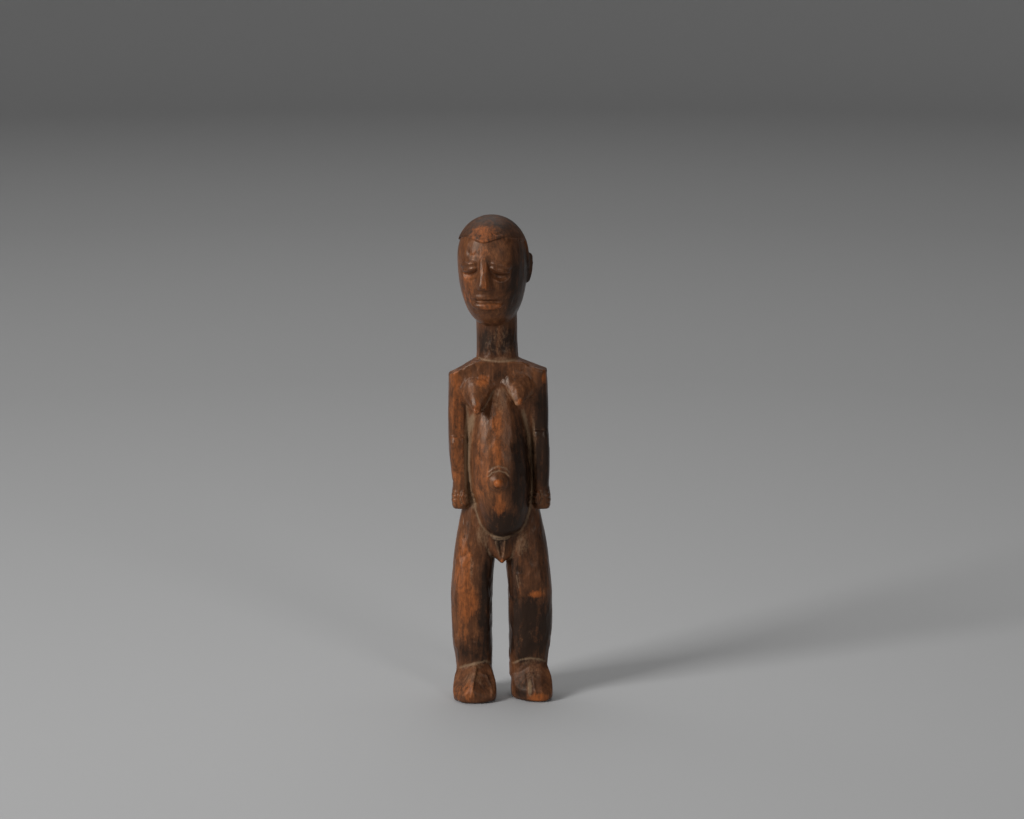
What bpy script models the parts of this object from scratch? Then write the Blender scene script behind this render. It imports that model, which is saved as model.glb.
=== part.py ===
"""A Lobi figure: a woman standing upright, carved from a single piece of wood.

The figure faces -Y and stands on its two soles at Z = 0, and the middle of its base is the origin.
Sizes in the tables are millimetres on a figure 220 mm tall. MM turns them into metres on a figure of
any HEIGHT, so the pose and the carving stay shares of the height.
"""

import math

import bmesh
import bpy
import numpy as np
from mathutils import Matrix, Vector

HEIGHT = 0.220
TABLE_HEIGHT = 220.0
MM = HEIGHT / TABLE_HEIGHT

# The two sides, as they are seen from the front
LEFT, RIGHT = -1, 1

# The carving leans a little: its middle line is at X = LEAN_START on the ground and bends aside with the
# square of the height, by LEAN at the height of 100.
LEAN_START = 0.3
LEAN = -0.65

# Fineness of the rounded forms: sides of a ring, and rings from one row of a table to the next
BODY_SIDES = 24
LIMB_SIDES = 16
STEPS = 2

# Rows of a standing form, from the bottom up: z, x, y, half width, depth in front, depth behind
TRUNK = (
    (64.6, 0.0, 1.2, 6.0, 4.2, 7.0),
    (67.4, 0.0, 1.2, 10.0, 6.6, 9.4),
    (73.0, 0.0, 1.2, 13.0, 7.6, 10.6),
    (82.0, 0.0, 1.0, 16.6, 7.8, 10.4),
    (90.0, 0.0, 0.8, 16.6, 7.2, 9.2),
    (100.0, 0.0, 0.5, 15.3, 7.0, 8.2),
    (113.0, 0.0, 0.5, 15.0, 7.0, 8.4),
    (127.0, 0.0, 0.6, 16.0, 7.6, 9.6),
    (139.0, 0.0, 0.8, 19.0, 8.4, 10.4),
    (148.0, 0.0, 0.8, 21.4, 8.6, 9.8),
    (158.0, 0.0, 0.8, 21.6, 8.2, 9.0),
)
TRUNK_POWER = 2.7
BELLY_POWER = 2.2
BELLY = (
    (75.2, 1.0, 0.0, 5.4, 7.6, 3.0),
    (76.4, 1.1, 0.0, 8.4, 11.0, 4.0),
    (80.0, 1.5, 0.0, 10.9, 14.0, 4.0),
    (88.0, 1.2, 0.0, 12.7, 17.0, 4.0),
    (97.0, 0.3, 0.0, 14.0, 18.4, 4.0),
    (107.0, 0.0, 0.0, 14.3, 18.0, 4.0),
    (117.0, -0.3, 0.0, 14.1, 16.6, 4.0),
    (126.0, -0.3, 0.0, 13.1, 14.4, 4.0),
    (134.0, -0.5, 0.0, 11.2, 11.4, 4.0),
    (141.0, -0.3, 0.0, 8.2, 8.6, 4.0),
    (147.0, 0.0, 0.0, 4.6, 6.4, 3.0),
)
NECK = (
    (147.0, 0.0, 1.0, 9.9, 8.6, 9.4),
    (154.0, 0.0, 1.0, 9.5, 8.2, 9.2),
    (165.0, 0.0, 1.0, 9.2, 8.0, 9.0),
    (177.0, 0.0, 1.2, 9.2, 7.6, 9.2),
)
NECK_POWER = 2.3
LEG_POWER = 2.4
LEG = (
    (9.0, 12.3, 0.6, 8.3, 7.4, 7.8),
    (14.0, 12.3, 0.6, 8.5, 7.6, 8.0),
    (20.0, 12.6, 0.6, 9.0, 8.0, 8.7),
    (29.0, 13.2, 0.6, 9.5, 8.5, 9.7),
    (38.0, 13.3, 0.3, 9.7, 9.0, 10.0),
    (46.0, 13.2, 0.0, 9.8, 9.2, 9.2),
    (50.0, 13.1, 0.0, 9.7, 10.3, 9.2),
    (58.0, 12.5, 0.3, 9.6, 10.2, 10.2),
    (68.0, 11.4, 0.8, 9.6, 9.5, 11.8),
    (78.0, 9.9, 1.0, 9.4, 8.5, 12.2),
    (86.0, 9.0, 0.8, 8.6, 7.6, 10.2),
    (93.0, 8.2, 0.6, 7.4, 6.6, 8.0),
)
UPPER_ARM = (
    (104.0, 18.2, -0.8, 2.6, 4.0, 3.4),
    (110.0, 18.2, -0.4, 3.4, 4.8, 5.2),
    (117.0, 18.0, 0.2, 4.0, 5.7, 6.4),
    (127.0, 17.9, 0.4, 4.5, 6.1, 6.6),
    (139.0, 17.6, 0.5, 4.8, 6.6, 7.0),
    (148.0, 17.3, 0.5, 4.8, 7.2, 7.4),
    (158.0, 17.2, 0.5, 4.8, 7.2, 7.4),
)
FOREARM = (
    (96.0, 18.0, -1.7, 3.4, 5.2, 4.6),
    (104.0, 18.1, -1.4, 3.9, 5.8, 4.9),
    (113.0, 18.1, -1.2, 4.1, 6.1, 5.0),
    (119.5, 17.9, -1.2, 4.0, 6.4, 4.6),
    (122.0, 17.6, -1.2, 3.5, 5.6, 4.0),
)
HAND = (
    (87.6, 18.0, -2.0, 3.5, 4.4, 4.4),
    (89.6, 18.3, -2.3, 4.1, 5.2, 4.8),
    (94.0, 18.3, -2.3, 4.1, 5.2, 4.8),
    (97.5, 18.1, -1.9, 3.5, 4.4, 4.4),
)
ARM_POWER = 3.0

# The thumb lies down the front of the closed hand
THUMB_PLACE = (16.6, -7.0, 92.8)
THUMB_RADII = (2.1, 1.5, 3.5)
THUMB_TILT = math.radians(8.5)

# What differs between the two sides: the height of the elbow, how far the forearm stands out there, how
# far the hand is drawn in, and the thickness of the leg
ELBOW_RISE = {LEFT: -1.5, RIGHT: 1.5}
ELBOW_OUT = {LEFT: 0.4, RIGHT: 0.6}
HAND_INWARD = {LEFT: 0.5, RIGHT: -0.6}
LEG_WIDTH = {LEFT: 0.99, RIGHT: 1.05}

# The shoulders are cut flat from the neck to the corner, and fall away in front and behind: how far forward
# or back each cut starts, and how steeply it falls
SHOULDER_CORNER = {LEFT: (21.6, 148.6), RIGHT: (21.6, 150.6)}
SHOULDER_NECK = (10.2, 155.1)
SHOULDER_FALL = ((0.0, 0.0), (-6.4, -1.2), (3.0, 0.24))

# Rows of a foot, from heel to toe: forward, x, height of the middle, half width, depth below, height above
FOOT_LEFT = (
    (-10.6, -12.0, 3.0, 4.4, 5.0, 4.5),
    (-8.6, -12.0, 3.0, 6.8, 5.0, 9.5),
    (-3.0, -12.0, 3.0, 8.7, 5.0, 14.8),
    (3.0, -12.1, 3.0, 9.5, 5.0, 16.4),
    (8.0, -12.0, 3.0, 10.1, 5.0, 13.6),
    (12.0, -11.8, 3.0, 9.8, 5.0, 9.6),
    (15.0, -11.8, 2.8, 8.0, 5.0, 6.6),
    (16.8, -12.2, 2.6, 5.8, 5.0, 4.6),
    (17.8, -12.6, 2.4, 3.2, 5.0, 2.6),
)
FOOT_RIGHT = (
    (-10.6, 12.4, 3.0, 4.4, 5.0, 4.5),
    (-8.6, 12.4, 3.0, 6.8, 5.0, 9.5),
    (-3.0, 12.9, 3.0, 8.4, 5.0, 15.2),
    (3.0, 13.4, 3.0, 9.3, 5.0, 17.4),
    (7.0, 14.2, 3.0, 9.3, 5.0, 15.2),
    (10.2, 15.0, 3.0, 8.4, 5.0, 11.2),
    (12.8, 15.9, 2.8, 6.6, 5.0, 7.6),
    (14.4, 16.6, 2.6, 4.4, 5.0, 4.8),
    (15.2, 17.0, 2.4, 2.2, 5.0, 2.4),
)
FOOT_POWER = 2.4

# The flat cuts on each foot: a point of the cut, and the way that it faces
FOOT_CUTS = {
    LEFT: (
        ((-6.5, -13.8, 6.5), (0.42, -0.72, 0.62)),
        ((-18.6, -12.4, 6.4), (-0.62, -0.5, 0.62)),
    ),
    RIGHT: (
        ((11.2, -11.2, 8.8), (-0.5, -0.66, 0.56)),
        ((15.4, -12.0, 9.2), (0.0, -0.76, 0.65)),
        ((20.2, -10.8, 8.2), (0.6, -0.6, 0.53)),
    ),
}

# Buttocks: centre and radii
BUTTOCK_PLACE = (7.6, 5.0, 74.0)
BUTTOCK_RADII = (9.2, 9.8, 12.6)

# The shallow groove down the spine, as rows of the form that is cut out of the back
SPINE_POWER = 2.0
SPINE = (
    (88.0, 0.0, 12.0, 1.6, 1.0, 2.0),
    (98.0, 0.0, 10.0, 3.0, 1.9, 2.0),
    (113.0, 0.0, 9.9, 3.4, 1.9, 2.0),
    (127.0, 0.0, 11.2, 3.2, 1.9, 2.0),
    (139.0, 0.0, 12.0, 2.8, 1.5, 2.0),
    (147.0, 0.0, 12.2, 1.6, 0.8, 2.0),
)

# Breasts, as hanging cones with flat sides: the tip of each, and where the ridge down its front starts
BREAST_TIP = {LEFT: (-9.6, -17.2, 133.6), RIGHT: (8.8, -16.6, 137.4)}
BREAST_RIDGE = {LEFT: (-10.8, -10.8, 144.4), RIGHT: (10.2, -10.6, 146.4)}
# The corners of the base on the chest and of the block inside it: outward, forward or back, and up, and
# how much higher they are on each side
BREAST_BASE = (
    (4.6, -6.1, 151.2), (14.4, -5.4, 150.4), (18.0, -5.0, 144.6), (16.4, -5.2, 138.9), (0.5, -7.1, 146.2),
    (3.0, 2.0, 149.0), (14.5, 2.0, 149.0), (14.5, 2.0, 139.0), (3.0, 2.0, 139.0),
)
# From the tip: the corners of its blunt end, and those of the underside inside the chest
BREAST_END = (
    (1.1, 0.0, 1.1), (-1.1, 0.0, 1.1), (1.1, 0.0, -0.7), (-1.1, 0.0, -0.7), (0.0, 1.8, -1.1),
    (3.6, 11.0, 0.9), (-3.8, 11.0, 1.7),
)
BREAST_RISE = {LEFT: -1.0, RIGHT: 0.6}
BREAST_BEVEL = 0.45

# The navel: a broad low mound with a button on it
NAVEL_PLACE = (-0.7, -17.6, 102.6)
NAVEL_MOUND = (4.8, 3.0, 4.6)
NAVEL_BUTTON = (2.0, 1.5, 1.9)
NAVEL_BUTTON_PROUD = 2.5

# The wedge below the belly: the two ridges that meet at its tip, its sides on the thighs, and its inside
WEDGE = (
    (-2.4, -10.6, 76.0), (1.8, -10.6, 76.0), (0.1, -10.9, 64.4), (1.1, -10.9, 64.4),
    (-6.6, -6.6, 77.0), (6.6, -6.6, 77.0), (-5.8, -6.2, 67.6), (6.4, -6.2, 67.0),
    (0.6, -8.4, 62.8), (0.6, -4.0, 63.4), (0.0, -8.0, 78.0),
    (-4.0, 0.0, 66.0), (4.4, 0.0, 66.0), (-4.0, 0.0, 77.0), (4.4, 0.0, 77.0),
)
WEDGE_BEVEL = 0.3

# The head, measured from its own middle: an egg with its widest section nearer to the crown
HEAD_MIDDLE = Vector((-1.2, -1.0, 195.0))
HEAD_YAW = math.radians(-12.0)
HEAD_HALF = 25.0
HEAD_WIDEST = 6.5
HEAD_HALF_WIDTH = 15.3
HEAD_FRONT = 18.2
HEAD_BACK = 17.4
CROWN_POWER = 2.05
CHIN_POWER = 2.35
SKULL_POWER = 2.2
HEAD_SIDES = 30
HEAD_RINGS = 18

# Hair worn as a smooth cap, raised from the skull, and the reach of the blocks that trim it. Its edge, from the front: a low peak in the middle of
# the brow, and the temples. From the side, behind the temples: forward or back, and up.
HAIR_RAISE = 0.9
HAIR_REACH = HEAD_FRONT + HEAD_BACK
HAIR_BROW = ((0.0, 14.6), (8.5, 17.0), (13.0, 15.6), (20.0, 8.0), (20.0, -40.0))
HAIR_TEMPLE = 2.2
HAIR_SIDE = ((HAIR_TEMPLE - 0.3, 4.0), (9.0, -5.0), (13.0, -11.0), (30.0, -14.0), (30.0, -40.0))

# The face: its places are round shares of the head's half height, up from the head's middle
EYE_LINE = 0.16 * HEAD_HALF
NOSE_ROOT = 0.34 * HEAD_HALF
NOSE_BASE = -0.24 * HEAD_HALF
MOUTH_LINE = -0.46 * HEAD_HALF

# Eyes: lenses between two lids, in a hollow, drooping outward
EYE_OUT = 0.5 * HEAD_HALF_WIDTH
EYE_DROOP = math.radians(14.0)
EYE_RADII = (5.0, 3.0, 2.9)
EYE_SINK = 1.9
LID_THICK = 0.6
LID_EDGES = ((0.5, 1), (-1.2, -1))
SOCKET_RADII = (6.8, 3.6, 5.4)
SOCKET_DROP = 1.4
SOCKET_INWARD = 0.4
SOCKET_PROUD = 1.0

# The nose, a long straight wedge: height above its base, half width, and how far it stands off the face
NOSE = (
    (NOSE_ROOT - NOSE_BASE, 1.2, 0.4),
    (1.6, 1.5, 4.6),
    (0.0, 1.7, 3.8),
    (2.2, 3.6, 0.6),
    (0.0, 3.6, 0.6),
    (NOSE_ROOT - NOSE_BASE - 1.0, 2.2, -4.0),
    (0.0, 2.2, -4.0),
)
NOSE_BEVEL = 0.35

# The lips, from the line of the mouth: up, half thickness, and the sag of the middle
LIPS = ((1.5, 1.7, -0.5), (-1.6, 1.9, 0.6))
LIP_HALF_LENGTH = 7.4
LIP_BOW = 2.2
LIP_SINK = 2.6

# Ears: flat leaves behind the middle of the head, with their outline forward or back, and up
EAR_PLACE = (HEAD_HALF_WIDTH - 0.7, 5.2, 0.8)
EAR_OUTLINE = (
    (-2.2, 5.2), (-1.2, 6.4), (2.6, 6.6), (3.7, 5.2), (3.8, 1.6),
    (2.8, -2.6), (0.9, -6.0), (-0.8, -6.6), (-2.2, -4.4),
)
EAR_THICK = 1.7
EAR_FLARE = math.radians(24.0)
EAR_BEVEL = 0.35

# Faces that meet at less than this angle are shaded as one round surface
SMOOTH_ANGLE = math.radians(35.0)

WOOD = (0.105, 0.048, 0.026, 1.0)
WOOD_ROUGHNESS = 0.45


def smooth_rows(rows, steps):
    """The rows of a table with others between them, on a Catmull-Rom curve through each column."""
    rows = np.array(rows, float)
    ends = np.vstack([2 * rows[0] - rows[1], rows, 2 * rows[-1] - rows[-2]])
    made = []
    for a, b, c, d in zip(ends, ends[1:], ends[2:], ends[3:]):
        for t in np.arange(steps) / steps:
            bend = (2 * a - 5 * b + 4 * c - d) * t**2 + (3 * b - a - 3 * c + d) * t**3
            made.append(b + 0.5 * ((c - a) * t + bend))
    made.append(rows[-1])
    return made


def superellipse(angle, power):
    """A point of the unit superellipse: 2 is a circle, and a higher power is squarer."""
    c, s = math.cos(angle), math.sin(angle)
    return (
        math.copysign(abs(c) ** (2 / power), c),
        math.copysign(abs(s) ** (2 / power), s),
    )


def ring(row, power, sides):
    z, x, y, half_width, front, back = row
    points = []
    for k in range(sides):
        across, along = superellipse(2 * math.pi * k / sides, power)
        depth = back if along > 0 else front
        points.append((x + half_width * across, y + depth * along, z))
    return points


def loft(rows, power, sides):
    """A closed skin over the rings of the given rows."""
    bm = bmesh.new()
    loops = [[bm.verts.new(p) for p in ring(row, power, sides)] for row in rows]
    for low, high in zip(loops, loops[1:]):
        for k in range(sides):
            after = (k + 1) % sides
            bm.faces.new((low[k], low[after], high[after], high[k]))
    bm.faces.new(reversed(loops[0]))
    bm.faces.new(loops[-1])
    return bm


def limb(rows, power, sides=LIMB_SIDES):
    return loft(smooth_rows(rows, STEPS), power, sides)


def shifted(rows, change):
    """Rows of a table with a function's (dz, dx) added, from each row's own z and x."""
    made = []
    for z, x, *rest in rows:
        dz, dx = change(z, x)
        made.append((z + dz, x + dx, *rest))
    return made


def hull(points, bevel=0.0):
    """The convex block with these corners, its edges rounded by a bevel."""
    bm = bmesh.new()
    for p in points:
        bm.verts.new(p)
    made = bmesh.ops.convex_hull(bm, input=bm.verts[:])
    loose = {v for v in made["geom_interior"] + made["geom_unused"] if isinstance(v, bmesh.types.BMVert)}
    bmesh.ops.delete(bm, geom=list(loose), context="VERTS")
    bmesh.ops.dissolve_limit(
        bm, angle_limit=math.radians(1.0), verts=bm.verts[:], edges=bm.edges[:]
    )
    if bevel:
        bmesh.ops.bevel(
            bm,
            geom=bm.edges[:] + bm.verts[:],
            offset=bevel,
            segments=2,
            profile=0.5,
            affect="EDGES",
            clamp_overlap=True,
        )
    return bm


def ellipsoid(radii, sides=16, rings=9):
    bm = bmesh.new()
    bmesh.ops.create_uvsphere(bm, u_segments=sides, v_segments=rings, radius=1.0)
    bm.transform(Matrix.Diagonal((*radii, 1.0)))
    return bm


def crescent(half_length, size, bow, sag, sides=8, rings=8):
    """A bar along X that tapers to both ends, its middle pushed forward by bow and down by sag."""
    rows = []
    for k in range(rings + 1):
        t = math.sin(math.radians(84.0) * (2 * k / rings - 1))
        swell = math.sqrt(1 - t * t)
        rows.append((half_length * t, sag * swell, -bow * swell, size * swell, size * swell, size * swell))
    bm = loft(rows, 2.0, sides)
    bm.transform(Matrix.Rotation(math.radians(90.0), 4, "Y"))
    return bm


def knife(bm, point, normal):
    """Cuts the form flat, taking off what lies beyond the plane."""
    cut = bmesh.ops.bisect_plane(
        bm,
        geom=bm.verts[:] + bm.edges[:] + bm.faces[:],
        plane_co=point,
        plane_no=Vector(normal).normalized(),
        clear_outer=True,
    )
    rim = [e for e in cut["geom_cut"] if isinstance(e, bmesh.types.BMEdge)]
    bmesh.ops.holes_fill(bm, edges=rim)
    return bm


def lean(z):
    """How far the middle line of the carving is to the side at a height."""
    return LEAN_START + LEAN * (z / 100.0) ** 2


def solid(name, bm, place=None):
    """An object from a form in millimetres, put in its place, with the lean of the carving."""
    if place is not None:
        bm.transform(place)
    for v in bm.verts:
        v.co.x += lean(v.co.z)
        v.co *= MM
    bmesh.ops.recalc_face_normals(bm, faces=bm.faces[:])
    mesh = bpy.data.meshes.new(name)
    bm.to_mesh(mesh)
    bm.free()
    made = bpy.data.objects.new(name, mesh)
    bpy.context.scene.collection.objects.link(made)
    return made


def boolean(base, tools, operation):
    """The base joined with the tools, or cut by them, as one mesh."""
    group = bpy.data.collections.new("tools")
    for tool in tools:
        group.objects.link(tool)
    modifier = base.modifiers.new("join", "BOOLEAN")
    modifier.operation = operation
    modifier.operand_type = "COLLECTION"
    modifier.collection = group
    modifier.solver = "EXACT"
    bpy.context.view_layer.update()
    graph = bpy.context.evaluated_depsgraph_get()
    mesh = bpy.data.meshes.new_from_object(base.evaluated_get(graph))
    base.modifiers.clear()
    base.data = mesh
    for tool in tools:
        bpy.data.objects.remove(tool)
    bpy.data.collections.remove(group)
    return base


def trunk_and_upper_arms():
    """The torso with the upper arms, cut along the slope of the shoulders."""
    trunk = solid("trunk", limb(TRUNK, TRUNK_POWER, BODY_SIDES))
    arms = [solid("upper_arm", upper_arm(side)) for side in (LEFT, RIGHT)]
    whole = boolean(trunk, arms, "UNION")
    whole = boolean(whole, [solid("spine", limb(SPINE, SPINE_POWER, sides=12))], "DIFFERENCE")
    bm = bmesh.new()
    bm.from_mesh(whole.data)
    knife(bm, Vector((0, 0, SHOULDER_NECK[1])) * MM, (0, 0, 1))
    for side in (LEFT, RIGHT):
        run = SHOULDER_CORNER[side][0] - SHOULDER_NECK[0]
        drop = SHOULDER_NECK[1] - SHOULDER_CORNER[side][1]
        x = side * SHOULDER_NECK[0] + lean(SHOULDER_NECK[1])
        for y, fall in SHOULDER_FALL:
            point = Vector((x, y, SHOULDER_NECK[1])) * MM
            knife(bm, point, (side * drop, fall * run, run))
    bm.to_mesh(whole.data)
    bm.free()
    return whole


def upper_arm(side):
    return limb([(z, side * x, *rest) for z, x, *rest in UPPER_ARM], ARM_POWER)


def forearm(side):
    """The forearm steps forward from the upper arm at the elbow, and the hand may be drawn inward."""
    low, high = FOREARM[0][0], FOREARM[-1][0]

    def change(z, x):
        up = (z - low) / (high - low)
        return ELBOW_RISE[side] * up, ELBOW_OUT[side] * up - HAND_INWARD[side] * (1 - up)

    rows = shifted(FOREARM, change)
    return limb([(z, side * x, *rest) for z, x, *rest in rows], ARM_POWER)


def hand(side):
    rows = [(z, side * (x - HAND_INWARD[side]), *rest) for z, x, *rest in HAND]
    return limb(rows, ARM_POWER, sides=14)


def thumb(side):
    x, y, z = THUMB_PLACE
    place = Matrix.Translation((side * (x - HAND_INWARD[side]), y, z))
    turn = Matrix.Rotation(side * THUMB_TILT, 4, "Y")
    return solid("thumb", ellipsoid(THUMB_RADII, sides=10, rings=7), place @ turn)


def leg(side):
    rows = [(z, side * x, y, wide * LEG_WIDTH[side], *rest) for z, x, y, wide, *rest in LEG]
    return limb(rows, LEG_POWER)


def foot(side):
    """A foot lofted from heel to toe, with its flat cuts, on a flat sole."""
    bm = limb(FOOT_LEFT if side == LEFT else FOOT_RIGHT, FOOT_POWER)
    bm.transform(Matrix.Rotation(math.radians(90.0), 4, "X"))
    for point, facing in FOOT_CUTS[side]:
        knife(bm, point, facing)
    return knife(bm, (0, 0, 0), (0, 0, -1))


def breast(side):
    tip = Vector(BREAST_TIP[side])
    base = [Vector((side * x, y, z + BREAST_RISE[side])) for x, y, z in BREAST_BASE]
    end = [tip + Vector((side * x, y, z)) for x, y, z in BREAST_END]
    return hull([Vector(BREAST_RIDGE[side]), *base, *end], BREAST_BEVEL)


def navel():
    place = Matrix.Translation(NAVEL_PLACE)
    proud = Matrix.Translation((0, -NAVEL_BUTTON_PROUD, 0))
    mound = solid("navel_mound", ellipsoid(NAVEL_MOUND), place)
    button = solid("navel_button", ellipsoid(NAVEL_BUTTON, sides=12, rings=7), place @ proud)
    return [mound, button]


def egg(z, grow=0.0):
    """The share of the head's full width and depth that it has at a height."""
    if z > HEAD_WIDEST:
        reach, power = HEAD_HALF - HAIR_RAISE + grow - HEAD_WIDEST, CROWN_POWER
    else:
        reach, power = HEAD_HALF + grow + HEAD_WIDEST, CHIN_POWER
    return max(0.0, 1 - (abs(z - HEAD_WIDEST) / reach) ** power) ** (1 / power)


def skull_rows(grow=0.0):
    """Rings of the head, close together near the crown and the chin."""
    rows = []
    for k in range(HEAD_RINGS + 1):
        turn = math.sin(math.radians(172.0) * (k / HEAD_RINGS - 0.5))
        if turn > 0:
            z = HEAD_WIDEST + (HEAD_HALF - HAIR_RAISE + grow - HEAD_WIDEST) * turn
        else:
            z = HEAD_WIDEST + (HEAD_HALF + grow + HEAD_WIDEST) * turn
        share = egg(z, grow)
        sizes = [(size + grow) * share for size in (HEAD_HALF_WIDTH, HEAD_FRONT, HEAD_BACK)]
        rows.append((z, 0, 0, *sizes))
    return rows


def face_y(x, z):
    """How far forward the skull's surface is at a place on the face."""
    share = egg(z)
    across = abs(x / (HEAD_HALF_WIDTH * share)) ** SKULL_POWER
    return -HEAD_FRONT * share * (1 - across) ** (1 / SKULL_POWER)


def on_face(x, z, tilt=0.0, sink=0.0):
    """A place on the face, turned to lie along the skull."""
    turn = math.atan2(face_y(x + 1, z) - face_y(x - 1, z), 2.0)
    tip = math.atan2(face_y(x, z + 1) - face_y(x, z - 1), 2.0)
    along = Matrix.Rotation(turn, 4, "Z") @ Matrix.Rotation(-tip, 4, "X") @ Matrix.Rotation(tilt, 4, "Y")
    return Matrix.Translation((x, face_y(x, z), z)) @ along @ Matrix.Translation((0, sink, 0))


def head_place():
    return Matrix.Translation(HEAD_MIDDLE) @ Matrix.Rotation(HEAD_YAW, 4, "Z")


def eye(side):
    """A lens between two lids that are cut flat along the opening."""
    here = head_place() @ on_face(side * EYE_OUT, EYE_LINE, tilt=side * EYE_DROOP, sink=EYE_SINK)
    made = [solid("eye", ellipsoid(EYE_RADII, sides=14, rings=9), here)]
    for edge, keep in LID_EDGES:
        lid = ellipsoid([radius + LID_THICK for radius in EYE_RADII], sides=18, rings=11)
        made.append(solid("lid", knife(lid, (0, 0, edge), (0, 0, -keep)), here))
    return made


def nose():
    corners = []
    for up, half_width, proud in NOSE:
        z = NOSE_BASE + up
        corners += [(x, face_y(0, z) - proud, z) for x in (-half_width, half_width)]
    return solid("nose", hull(corners, NOSE_BEVEL), head_place())


def lips():
    made = []
    for up, size, sag in LIPS:
        bar = crescent(LIP_HALF_LENGTH, size, LIP_BOW, sag, sides=12, rings=10)
        place = Matrix.Translation((0, face_y(0, MOUTH_LINE) + LIP_SINK, MOUTH_LINE + up))
        made.append(solid("lip", bar, head_place() @ place))
    return made


def ear(side):
    x, y, z = EAR_PLACE
    leaf = [(t, a, b) for t in (-EAR_THICK / 2, EAR_THICK / 2) for a, b in EAR_OUTLINE]
    place = Matrix.Translation((side * x, y, z)) @ Matrix.Rotation(-side * EAR_FLARE, 4, "Z")
    return solid("ear", hull(leaf, EAR_BEVEL), head_place() @ place)


def skull():
    """The head without its hair: an egg with a hollow for each eye."""
    form = solid("skull", loft(skull_rows(), SKULL_POWER, HEAD_SIDES), head_place())
    sockets = []
    for side in (LEFT, RIGHT):
        x, z = side * (EYE_OUT - SOCKET_INWARD), EYE_LINE - SOCKET_DROP
        here = on_face(x, z, tilt=side * EYE_DROOP, sink=-SOCKET_PROUD)
        hollow = ellipsoid(SOCKET_RADII, sides=14, rings=9)
        sockets.append(solid("socket", hollow, head_place() @ here))
    return boolean(form, sockets, "DIFFERENCE")


def slab(outline, depth):
    """A block: an outline in X and Z, pulled along Y from -depth to depth."""
    bm = bmesh.new()
    face = bm.faces.new([bm.verts.new((x, -depth, z)) for x, z in outline])
    pulled = bmesh.ops.extrude_face_region(bm, geom=[face])
    moved = [v for v in pulled["geom"] if isinstance(v, bmesh.types.BMVert)]
    bmesh.ops.translate(bm, vec=(0, 2 * depth, 0), verts=moved)
    return bm


def hair():
    """A slightly larger egg, cut away over the face, round the ears and below the nape."""
    cap = solid("hair", loft(skull_rows(HAIR_RAISE), SKULL_POWER, HEAD_SIDES), head_place())
    brow = slab([(-x, z) for x, z in reversed(HAIR_BROW[1:])] + list(HAIR_BROW), HAIR_REACH)
    side = slab([*HAIR_SIDE, (HAIR_SIDE[0][0], HAIR_SIDE[-1][1])], HAIR_REACH)
    quarter = Matrix.Rotation(math.radians(90.0), 4, "Z")
    tools = [
        solid("brow", brow, head_place() @ Matrix.Translation((0, HAIR_TEMPLE - HAIR_REACH, 0))),
        solid("side", side, head_place() @ quarter),
    ]
    return boolean(cap, tools, "DIFFERENCE")


def stand_on_origin(figure):
    """Moves the middle of the base to the origin."""
    corners = np.array([v.co for v in figure.data.vertices])
    low, high = corners.min(axis=0), corners.max(axis=0)
    middle = (low + high) / 2
    figure.data.transform(Matrix.Translation((-middle[0], -middle[1], -low[2])))


def wood():
    made = bpy.data.materials.new("wood")
    made.use_nodes = True
    shader = made.node_tree.nodes["Principled BSDF"]
    shader.inputs["Base Color"].default_value = WOOD
    shader.inputs["Roughness"].default_value = WOOD_ROUGHNESS
    return made


def main():
    for old in list(bpy.data.objects):
        bpy.data.objects.remove(old)
    figure = trunk_and_upper_arms()
    parts = [
        solid("belly", limb(BELLY, BELLY_POWER, BODY_SIDES)),
        solid("neck", limb(NECK, NECK_POWER, BODY_SIDES)),
        solid("wedge", hull(WEDGE, WEDGE_BEVEL)),
        skull(),
        hair(),
        nose(),
        *navel(),
        *lips(),
    ]
    for side in (LEFT, RIGHT):
        x, y, z = BUTTOCK_PLACE
        parts += [
            solid("buttock", ellipsoid(BUTTOCK_RADII, 18, 11), Matrix.Translation((side * x, y, z))),
            solid("leg", leg(side)),
            solid("foot", foot(side)),
            solid("forearm", forearm(side)),
            solid("hand", hand(side)),
            thumb(side),
            solid("breast", breast(side)),
            ear(side),
            *eye(side),
        ]
    figure = boolean(figure, parts, "UNION")
    figure.name = figure.data.name = "figure"
    stand_on_origin(figure)
    figure.data.shade_smooth()
    figure.data.set_sharp_from_angle(angle=SMOOTH_ANGLE)
    figure.data.materials.clear()
    figure.data.materials.append(wood())


main()
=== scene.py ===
"""The looks of the Lobi figure: one carved, worn and oiled piece of wood, in a round pale studio.

The figure faces -Y and stands on Z = 0. Places and sizes are millimetres unless a name or comment says
otherwise, and MM turns them into metres. Left and right are as seen from the front.
"""

import itertools
import math

import bmesh
import bpy
import numpy as np
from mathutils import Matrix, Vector
from mathutils.kdtree import KDTree

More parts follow.
